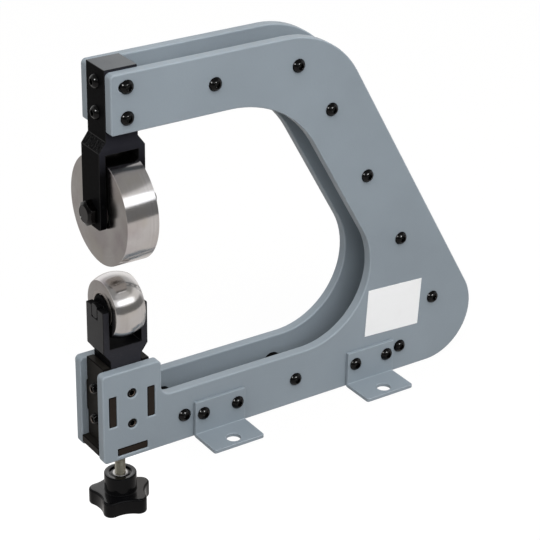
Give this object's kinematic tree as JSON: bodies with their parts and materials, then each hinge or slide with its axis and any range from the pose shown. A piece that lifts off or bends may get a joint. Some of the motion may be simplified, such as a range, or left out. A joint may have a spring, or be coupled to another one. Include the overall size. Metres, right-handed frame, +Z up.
{
  "type": "bench english wheel",
  "caption": "Small bench-mounted english wheel: C-frame of spaced side plates, flat upper wheel in a fixed fork, crowned anvil wheel in a fork raised by a star knob.",
  "frame": {"origin": "centre of the rectangle of the four foot bolt holes, on the underside of the feet", "axes": "+X along the plates from the wheels to the back of the throat, +Y square to the plates and away from the label side, +Z up"},
  "size_m": [0.3387, 0.101, 0.3531],
  "materials": {
    "frame_paint": "satin grey-blue powder coat",
    "fork_black": "satin black",
    "tab_black": "satin brown-black",
    "wheel_steel": "turned and polished",
    "bearing_steel": "ground",
    "screw_black": "blackened",
    "zinc_steel": "bright zinc",
    "knob_black": "gloss black moulded",
    "label_white": "plain white, left blank"
  },
  "bodies": {
    "frame": {"plate_near": "frame_paint", "plate_far": "frame_paint", "sleeves": "fork_black", "frame_screws_near": "screw_black", "frame_screws_far": "screw_black", "upper_fork": "fork_black", "head_screws_near": "screw_black", "head_screws_far": "screw_black", "front_screws": "screw_black", "upper_bearing_inners": "bearing_steel", "upper_shims": "bearing_steel", "upper_axle_bolt": "screw_black", "upper_axle_washer": "screw_black", "upper_axle_nut": "screw_black", "guide_front": "tab_black", "guide_rear": "tab_black", "base_plate": "tab_black", "guide_screws": "screw_black", "clamp_screws_near": "screw_black", "clamp_screws_far": "screw_black", "foot_near_front": "frame_paint", "foot_near_rear": "frame_paint", "foot_far_front": "frame_paint", "foot_far_rear": "frame_paint", "foot_screws_near": "screw_black", "foot_screws_far": "screw_black", "blank_label": "label_white"},
    "upper_wheel": {"upper_wheel": "wheel_steel", "upper_bearing_outers": "bearing_steel", "upper_bearing_balls": "bearing_steel"},
    "carriage": {"lower_fork": "fork_black", "anvil_axle": "fork_black", "anvil_collars": "fork_black", "lower_bearing_inners": "bearing_steel"},
    "anvil": {"anvil_wheel": "wheel_steel", "lower_bearing_outers": "bearing_steel", "lower_bearing_balls": "bearing_steel"},
    "lift": {"lift_screw": "zinc_steel", "knob": "knob_black", "knob_insert": "zinc_steel"}
  },
  "joints": [
    {"name": "upper_wheel_spin", "type": "hinge", "parent": "frame", "child": "upper_wheel", "pos_m": [-0.144, 0, 0.1945], "axis": [1, 0, 0], "continuous": true},
    {"name": "fork_lift", "type": "slide", "parent": "frame", "child": "carriage", "axis": [0, 0, 1], "range_m": [-0.0045, 0.0123]},
    {"name": "anvil_spin", "type": "hinge", "parent": "carriage", "child": "anvil", "pos_m": [-0.144, 0, 0.117], "axis": [1, 0, 0], "continuous": true},
    {"name": "lift_turn", "type": "hinge", "parent": "carriage", "child": "lift", "pos_m": [-0.144, 0, -0.0244], "axis": [0, 0, 1], "range_deg": [-1298, 3545]}
  ],
  "couplings": [
    {"joint": "lift_turn", "follows": "fork_lift", "rad_per_m": 5026.5}
  ]
}
